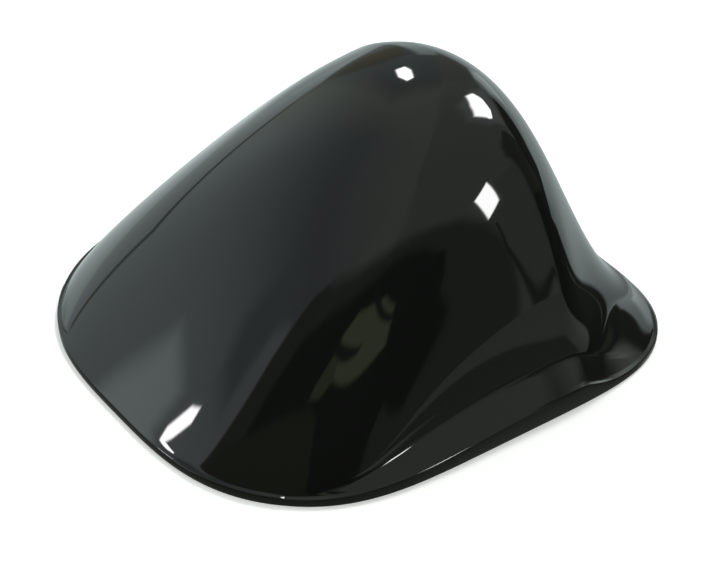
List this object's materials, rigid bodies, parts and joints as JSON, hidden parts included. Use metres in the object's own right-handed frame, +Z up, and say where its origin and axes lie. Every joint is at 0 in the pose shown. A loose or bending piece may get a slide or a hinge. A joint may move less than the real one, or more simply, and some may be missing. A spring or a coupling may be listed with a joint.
{
  "type": "motorcycle seat cowl",
  "caption": "Gloss black one-piece cowl that covers a motorcycle's rear seat: low round tail, tall steep front, side shelves, steel stays with tongue and lock striker underneath.",
  "frame": {"origin": "centre of the bounding box in plan, on the rim plane that the cowl stands on", "axes": "+X to the front (towards the rider), +Y to the left, +Z up"},
  "size_m": [0.315, 0.3002, 0.1455],
  "materials": {
    "gloss_black": "deep gloss black",
    "insert_brass": "turned brass",
    "stay_black": "satin black coated steel",
    "screw_steel": "zinc plated steel",
    "buffer_rubber": "matt black rubber"
  },
  "bodies": {
    "root": {"cowl_shell": "gloss_black", "threaded_inserts": "insert_brass", "front_stay": "stay_black", "lock_stay": "stay_black", "stay_screws": "screw_steel", "rubber_buffers": "buffer_rubber"}
  },
  "joints": []
}
